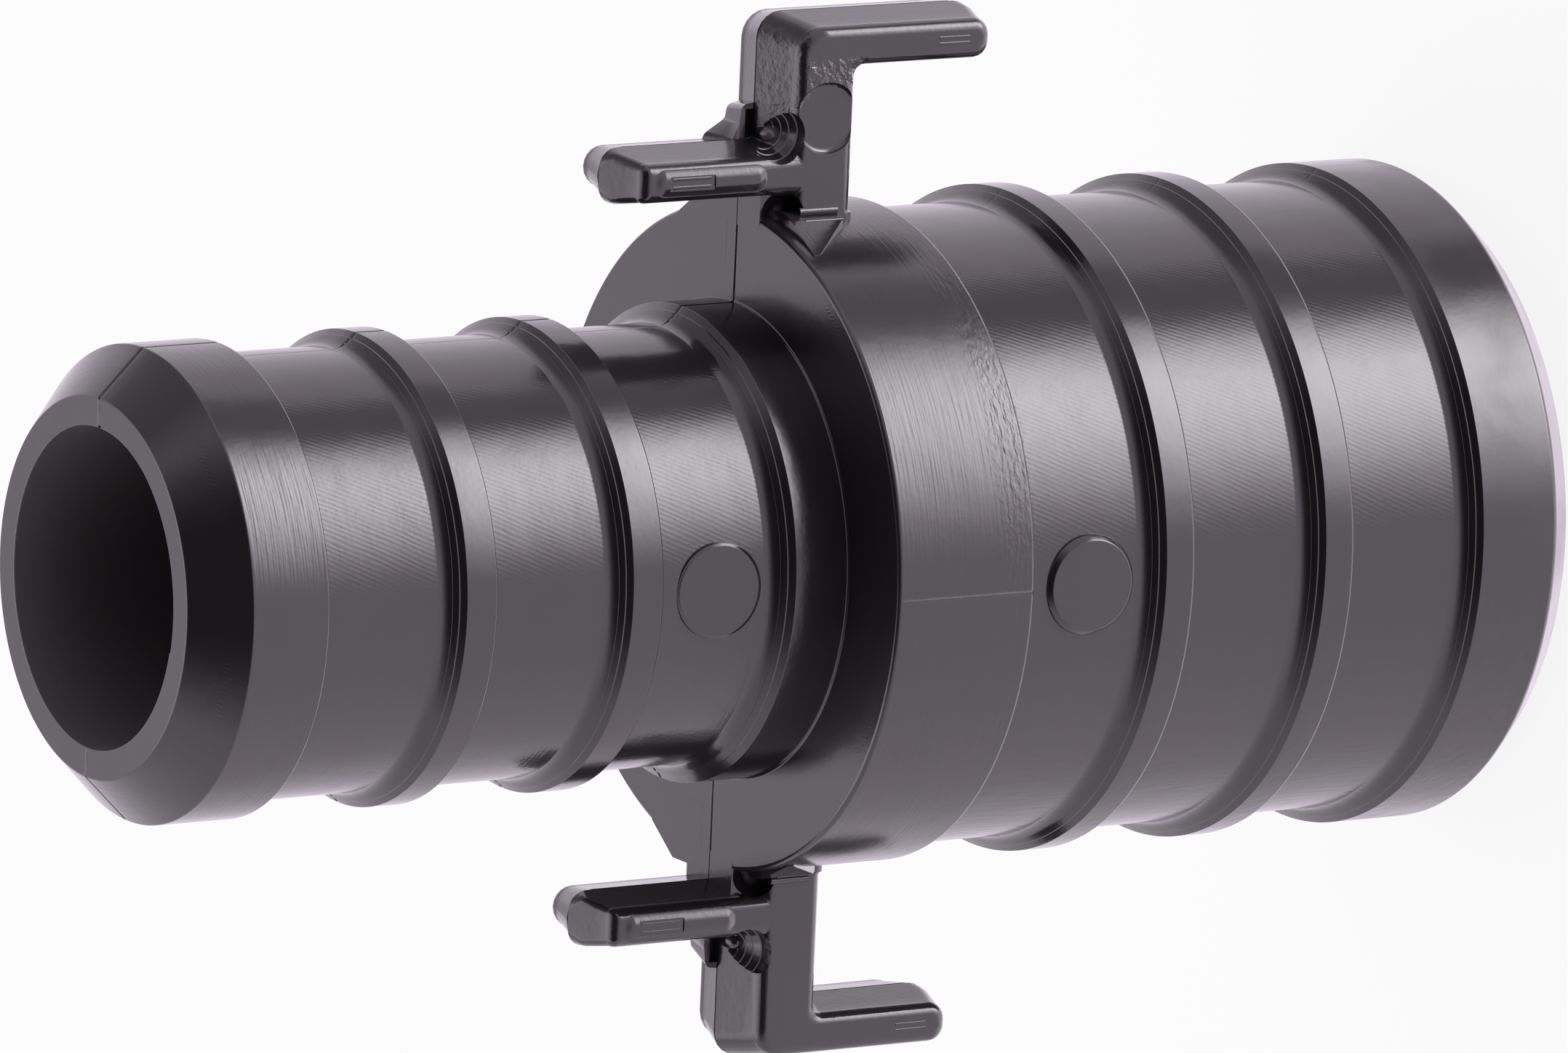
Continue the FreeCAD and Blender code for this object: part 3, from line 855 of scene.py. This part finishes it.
def make_arm():
    arm = arm_solid("arm")
    rise = eased_levels(ARM_HALF_WIDTH - BLOCK_SUNK)
    levels = [(-level[0],) + level[1:] for level in reversed(rise)] + rise
    combine(arm, stacked("block", block_outline, levels), "UNION")
    gusset_levels = [(0.0, 0.0), (GUSSET_WIDTH * 0.5, 0.5), (GUSSET_WIDTH, 1.0)]
    combine(arm, stacked("gusset", gusset_outline, gusset_levels), "UNION")
    combine(arm, lathe("gate", GATE_CENTRE, GATE_BOWL), "DIFFERENCE")
    hollow = box_outline(GUSSET_HOLLOW, (BOX_EDGE, BOX_EDGE))
    combine(arm, prism("gusset_hollow", hollow, -HIDDEN_STEP, GUSSET_HOLLOW_DEPTH, "Y"), "DIFFERENCE")
    combine(arm, lathe("nub", NUB_CENTRE, NUB), "UNION")
    for low, high in ((-BRIDGE_NEAR, -PARTING_GAP), (PARTING_GAP, BRIDGE_NEAR)):
        bridge = prism("bridge", box_outline(BRIDGE, (BOX_EDGE, BOX_EDGE)), low, high, "Y")
        combine(arm, bridge, "UNION")
    far_bridge = prism("far_bridge", FAR_BRIDGE, *FAR_BRIDGE_LEVELS, "Z")
    combine(arm, far_bridge, "UNION")
    bowl = [(0, POCKET[1] - POCKET_RADIUS)]
    for step in range(1, POCKET_STEPS):
        turn = math.pi * step / POCKET_STEPS
        bowl.append((POCKET_RADIUS * math.sin(turn), POCKET[1] - POCKET_RADIUS * math.cos(turn)))
    bowl.append((0, POCKET[1] + POCKET_RADIUS))
    combine(arm, lathe("pocket", POCKET[::2], bowl, POCKET_SIDES), "DIFFERENCE")
    front = -ARM_HALF_WIDTH
    left, right, bottom, top = PLATE
    rim = []
    for inset, rise in PLATE_RIM:
        plate = (left + inset, right - inset, bottom + inset, top - inset)
        end = (right - left) * PLATE_END_SHARE - inset
        rim.append((front - rise, plate, (end, end)))
    rim.insert(0, (front + PLATE_SUNK,) + rim[0][1:])
    combine(arm, stacked("plate", box_outline, rim), "UNION")
    recess = box_outline(RECESS, (RECESS_EDGE, RECESS_EDGE))
    combine(arm, prism("recess", recess, front * 2, RECESS_FLOOR, "Y"), "DIFFERENCE")
    for x, floor, low, high in RIDGES:
        section = circle(x, floor + RIDGE_RADIUS - RIDGE_RISE, RIDGE_RADIUS, RIDGE_SIDES)
        combine(arm, prism("ridge", section, low, high, "Z"), "UNION")
    both_sides = [(x, side * y, z) for x, y, z in FOOT_POINTS for side in (-1, 1)]
    combine(arm, hull("foot", both_sides), "UNION")
    for x, y, radius in BEADS:
        for side in (-1, 1):
            section = circle(x, side * y, radius, BEAD_SIDES)
            combine(arm, prism("bead", section, *BEAD_LEVELS, "Z"), "UNION")
    return arm


MARK_RADIUS = 0.82
MARK_WALL = 0.15
MARK_DEPTH = 0.13
MARK_CORNER = 0.03
MARK_STEPS = 5
MARK_SIDES = 96
MARK_CENTRE = (11.54, (STEM_TOP + STEM_BOTTOM) / 2 - 0.06)
upper_arm = make_arm()
lower_arm = make_arm()
lower_arm.data.transform(Matrix.Scale(-1, 4, (1, 0, 0)))
close_up(lower_arm.data)
mark_floor = -(ARM_HALF_WIDTH - MARK_DEPTH)
mark = [(0, mark_floor), (MARK_RADIUS - MARK_CORNER, mark_floor)]
for step in range(MARK_STEPS + 1):
    turn = math.pi / 2 * step / MARK_STEPS
    wall_out = MARK_WALL * math.sin(turn)
    wall_up = MARK_WALL * (1 - math.cos(turn))
    mark.append((MARK_RADIUS + wall_out, mark_floor - wall_up))
mark += [(MARK_RADIUS + MARK_WALL, -ARM_HALF_WIDTH * 2), (0, -ARM_HALF_WIDTH * 2)]
combine(upper_arm, lathe("mark", MARK_CENTRE, mark, MARK_SIDES), "DIFFERENCE")
combine(moulding, upper_arm, "UNION")
combine(moulding, lower_arm, "UNION")

# Finish: charcoal moulded plastic with a half-gloss skin. It keeps the mould's tool marks on the
# lands, lips and collar, flow marks by the collar's edge and on the arms, the core pin's dull grain
# in the bore and a torn nub at the gate. Lengths are in millimetres, heights in micrometres.
MICROMETRE = 1e-6
GLOSS_INDEX = 1.62
GLOSS_TINT = (1.0, 0.985, 1.0, 1)
DARK_CHARCOAL = (0.0128, 0.0116, 0.0123, 1)
LIGHT_CHARCOAL = (0.0150, 0.0136, 0.0144, 1)
DULL_GREY = (0.090, 0.083, 0.086, 1)
plastic.use_nodes = True
skin_tree = plastic.node_tree
shader = skin_tree.nodes["Principled BSDF"]
shader.inputs["IOR"].default_value = GLOSS_INDEX
shader.inputs["Specular Tint"].default_value = GLOSS_TINT
object_place = skin_tree.nodes.new("ShaderNodeTexCoord").outputs["Object"]
spot = skin_tree.nodes.new("ShaderNodeVectorMath")
spot.operation = "SCALE"
spot.inputs["Scale"].default_value = 1 / MILLIMETRE
skin_tree.links.new(object_place, spot.inputs[0])
spread = skin_tree.nodes.new("ShaderNodeSeparateXYZ")
skin_tree.links.new(spot.outputs[0], spread.inputs[0])
skin_x, skin_y, skin_z = spread.outputs
skin_radius = diagonal(skin_tree, skin_x, skin_y)
turn_angle = calc(skin_tree, "ARCTAN2", skin_x, calc(skin_tree, "ABSOLUTE", skin_y))
arc = calc(skin_tree, "MULTIPLY", turn_angle, skin_radius)


def times(first, second):
    return calc(skin_tree, "MULTIPLY", first, second)


def plus(first, second):
    return calc(skin_tree, "ADD", first, second)


def within(value, low, high, soft):
    """1 between low and high, fading over soft on both sides."""
    rising = ramp(skin_tree, value, low - soft, low)
    return times(rising, ramp(skin_tree, value, high, high + soft, 1.0, 0.0))


def grain(across, along, across_size, along_size, seed, detail=1.0):
    """Streaky noise from -1 to 1 whose marks are across_size by along_size."""
    joined = skin_tree.nodes.new("ShaderNodeCombineXYZ")
    skin_tree.links.new(calc(skin_tree, "DIVIDE", across, across_size), joined.inputs["X"])
    skin_tree.links.new(calc(skin_tree, "DIVIDE", along, along_size), joined.inputs["Y"])
    joined.inputs["Z"].default_value = seed
    noise = skin_tree.nodes.new("ShaderNodeTexNoise")
    noise.inputs["Scale"].default_value = 1.0
    noise.inputs["Detail"].default_value = detail
    skin_tree.links.new(joined.outputs[0], noise.inputs["Vector"])
    return calc(skin_tree, "MULTIPLY_ADD", noise.outputs[0], 2.0, -1.0)


def cloud(size, seed, detail=2.0):
    """Even noise in space from -1 to 1."""
    moved = skin_tree.nodes.new("ShaderNodeVectorMath")
    moved.operation = "ADD"
    skin_tree.links.new(spot.outputs[0], moved.inputs[0])
    moved.inputs[1].default_value = (seed, seed * 1.7, seed * 2.3)
    noise = skin_tree.nodes.new("ShaderNodeTexNoise")
    noise.inputs["Scale"].default_value = 1 / size
    noise.inputs["Detail"].default_value = detail
    skin_tree.links.new(moved.outputs[0], noise.inputs["Vector"])
    return calc(skin_tree, "MULTIPLY_ADD", noise.outputs[0], 2.0, -1.0)


TOOL_SLANT = math.radians(25)
TOOL_PITCH = 0.125
TOOL_HEIGHT = 0.65
WEAVE_HEIGHT = 1.4
DASH_HEIGHT = 2.0
TURNED_HEIGHT = 2.2
SINK_HEIGHT = 6.0
SPECKLE_HEIGHT = 0.9
FLOW_HEIGHT = 9.0
LIP_HEIGHT = 3.5
STEM_HEIGHT = 11.0
ARM_HEIGHT = 1.8
FACE_HEIGHT = 50.0

# Zones are (low, high, soft edge), in radians round the bore and else in millimetres.
LAND_ZONE = (-0.05, 0.03, 0.03)
FRONT_ZONE = (-0.35, 0.95, 0.35)
LOW_ZONE = (-1.25, -0.20, 0.30)
FLOW_TURN = (0.15, 0.95, 0.25)
FLOW_ALONG = (COLLAR_BOTTOM + 0.1, COLLAR_BOTTOM + 0.7, 0.6)
CREST_ZONE = (LARGE_CREST - 0.02, LARGE_CREST + 0.02, 0.02)
ZONE_EDGE = 0.05
STEM_SIDE_ACROSS = (11.7, 13.8, 0.2)
STEM_SIDE_ALONG = (20.3, 21.4, 0.15)
ABOVE_MARK_ACROSS = (12.45, 13.05, 0.15)
ABOVE_MARK_ALONG = (18.7, 20.3, 0.2)

# Marks are (size across, size along, seed, detail) and clouds (size, seed, detail).
DRIFT_MARKS = (0.5, 1.6, 3.1)
DRIFT_TURNS = 2.6
DEPTH_MARKS = (0.25, 0.9, 6.1)
DEPTH_RANGE = (0.9, 0.75)
WEAVE_MARKS = ((0.08, 0.8, 5.3), (0.10, 0.6, 8.9))
DASH_MARKS = (0.15, 1.0, 2.2, 0.0)
TURNED_MARKS = (0.07, 1.8, 7.7)
FLOW_MARKS = (0.14, 0.34, 9.0, 3.0)
SINK_CLOUD = (1.3, 1.0, 1.0)
SPECKLE_CLOUD = (0.16, 4.0, 1.0)
LIP_CLOUD = (0.25, 6.0)
STEM_CLOUD = (0.22, 12.0)
ARM_CLOUD = (0.15, 17.0)
FACE_CLOUD = (0.20, 15.0)
slanted = plus(times(arc, math.cos(TOOL_SLANT)), times(skin_z, -math.sin(TOOL_SLANT)))
follow = plus(times(arc, math.sin(TOOL_SLANT)), times(skin_z, math.cos(TOOL_SLANT)))
on_arm = calc(skin_tree, "GREATER_THAN", skin_radius, LARGE_CREST + 0.06)
on_body = calc(skin_tree, "SUBTRACT", 1.0, on_arm)
on_small_land, on_large_land = (
    within(skin_radius, land + LAND_ZONE[0], land + LAND_ZONE[1], LAND_ZONE[2])
    for land in (SMALL_LAND, LARGE_LAND)
)
on_land = calc(skin_tree, "MAXIMUM", on_small_land, on_large_land)
on_collar = times(within(skin_z, COLLAR_BOTTOM, COLLAR_TOP, ZONE_EDGE), on_body)
on_large_lip = within(skin_z, 0.0, LARGE_LIP, ZONE_EDGE)
on_small_lip = within(skin_z, lip_bottom, FULL_LENGTH, ZONE_EDGE)
front_zone = within(turn_angle, *FRONT_ZONE)
low_zone = within(turn_angle, *LOW_ZONE)

drift = times(grain(slanted, follow, *DRIFT_MARKS), DRIFT_TURNS)
tool_lines = calc(skin_tree, "SINE", plus(times(slanted, math.tau / TOOL_PITCH), drift))
tool_depth = calc(skin_tree, "MULTIPLY_ADD", grain(slanted, follow, *DEPTH_MARKS), *DEPTH_RANGE)
weave = plus(grain(skin_z, arc, *WEAVE_MARKS[0]), grain(slanted, follow, *WEAVE_MARKS[1]))
dashes = grain(arc, skin_z, *DASH_MARKS)
turned_lines = grain(skin_z, arc, *TURNED_MARKS)
on_turned = calc(skin_tree, "MAXIMUM", on_collar, on_small_lip)
flow_marks = grain(skin_z, arc, *FLOW_MARKS)
flow_band = times(within(skin_z, *FLOW_ALONG), within(turn_angle, *FLOW_TURN))
on_crest = within(skin_radius, *CREST_ZONE)
stem_side = times(within(skin_x, *STEM_SIDE_ACROSS), within(skin_z, *STEM_SIDE_ALONG))
near_half = calc(skin_tree, "LESS_THAN", skin_y, -0.05)
on_face = calc(skin_tree, "LESS_THAN", skin_y, -1.50)
above_mark = times(within(skin_x, *ABOVE_MARK_ACROSS), within(skin_z, *ABOVE_MARK_ALONG))
height = 0.0
for marks, tallest, where in (
    (times(tool_lines, tool_depth), TOOL_HEIGHT, times(on_land, front_zone)),
    (weave, WEAVE_HEIGHT, times(on_small_land, low_zone)),
    (dashes, DASH_HEIGHT, times(on_large_land, low_zone)),
    (turned_lines, TURNED_HEIGHT, on_turned),
    (cloud(*SINK_CLOUD), SINK_HEIGHT, on_body),
    (cloud(*SPECKLE_CLOUD), SPECKLE_HEIGHT, 1.0),
    (flow_marks, FLOW_HEIGHT, times(flow_band, on_body)),
    (cloud(*LIP_CLOUD), LIP_HEIGHT, times(on_crest, low_zone)),
    (cloud(*STEM_CLOUD), STEM_HEIGHT, times(near_half, stem_side)),
    (cloud(*ARM_CLOUD), ARM_HEIGHT, on_arm),
    (cloud(*FACE_CLOUD), FACE_HEIGHT, times(on_face, above_mark)),
):
    height = plus(height, times(times(marks, tallest), where))
bump = skin_tree.nodes.new("ShaderNodeBump")
bump.inputs["Distance"].default_value = MICROMETRE
bump.inputs["Strength"].default_value = 1.0
skin_tree.links.new(height, bump.inputs["Height"])
skin_tree.links.new(bump.outputs[0], shader.inputs["Normal"])

in_bore = times(calc(skin_tree, "LESS_THAN", skin_radius, SMALL_BORE + 0.03), on_body)
PLAIN_HAZE = 0.165
LIP_HAZE = 0.14
COLLAR_HAZE = 0.04
UNEVEN_HAZE = 0.02
BORE_HAZE = 0.35
NUB_HAZE = 0.16
NUB_MIDDLE = (NUB_CENTRE[0], -0.48, NUB_CENTRE[1])
TORN_RADII = (0.20, 0.30)
BLOTCH_CLOUD = (2.2, 21.0)
BLOTCH_RANGE = (-0.2, 0.6)
HAZE_CLOUD = (0.5, 25.0)
SHADE_CLOUD = (1.8, 30.0)
SHADE_RANGE = (-0.5, 0.5)
lip_blotches = ramp(skin_tree, cloud(*BLOTCH_CLOUD), *BLOTCH_RANGE)
haze = plus(times(lip_blotches, times(on_large_lip, LIP_HAZE)), PLAIN_HAZE)
haze = plus(haze, times(on_collar, COLLAR_HAZE))
haze = plus(haze, times(cloud(*HAZE_CLOUD), UNEVEN_HAZE))
haze = plus(haze, times(in_bore, BORE_HAZE))
from_nub = skin_tree.nodes.new("ShaderNodeVectorMath")
from_nub.operation = "DISTANCE"
skin_tree.links.new(spot.outputs[0], from_nub.inputs[0])
from_nub.inputs[1].default_value = NUB_MIDDLE
torn = ramp(skin_tree, from_nub.outputs["Value"], *TORN_RADII, 1.0, 0.0)
haze = plus(haze, times(torn, NUB_HAZE))
skin_tree.links.new(haze, shader.inputs["Roughness"])
shade = skin_tree.nodes.new("ShaderNodeMix")
shade.data_type = "RGBA"
blend_of_shades = ramp(skin_tree, cloud(*SHADE_CLOUD), *SHADE_RANGE)
skin_tree.links.new(blend_of_shades, shade.inputs["Factor"])
shade.inputs["A"].default_value = DARK_CHARCOAL
shade.inputs["B"].default_value = LIGHT_CHARCOAL
dull = skin_tree.nodes.new("ShaderNodeMix")
dull.data_type = "RGBA"
skin_tree.links.new(calc(skin_tree, "MAXIMUM", in_bore, torn), dull.inputs["Factor"])
skin_tree.links.new(shade.outputs["Result"], dull.inputs["A"])
dull.inputs["B"].default_value = DULL_GREY
skin_tree.links.new(dull.outputs["Result"], shader.inputs["Base Color"])

CREASE = math.radians(35)
work = bmesh.new()
work.from_mesh(moulding.data)
bmesh.ops.triangulate(work, faces=[face for face in work.faces if len(face.verts) > 4])
work.to_mesh(moulding.data)
work.free()
moulding.data.materials.clear()
moulding.data.materials.append(plastic)
moulding.data.polygons.foreach_set("use_smooth", [True] * len(moulding.data.polygons))
moulding.data.set_sharp_from_angle(angle=CREASE)
even = moulding.modifiers.new("even_shading", "WEIGHTED_NORMAL")
even.keep_sharp = True
even.thresh = 0.0001
moulding.data = plain_mesh(moulding, "moulded_coupling")
moulding.modifiers.clear()
moulding.data.transform(Matrix.Scale(MILLIMETRE, 4))
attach(moulding, "root")
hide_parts("reducing_coupling")
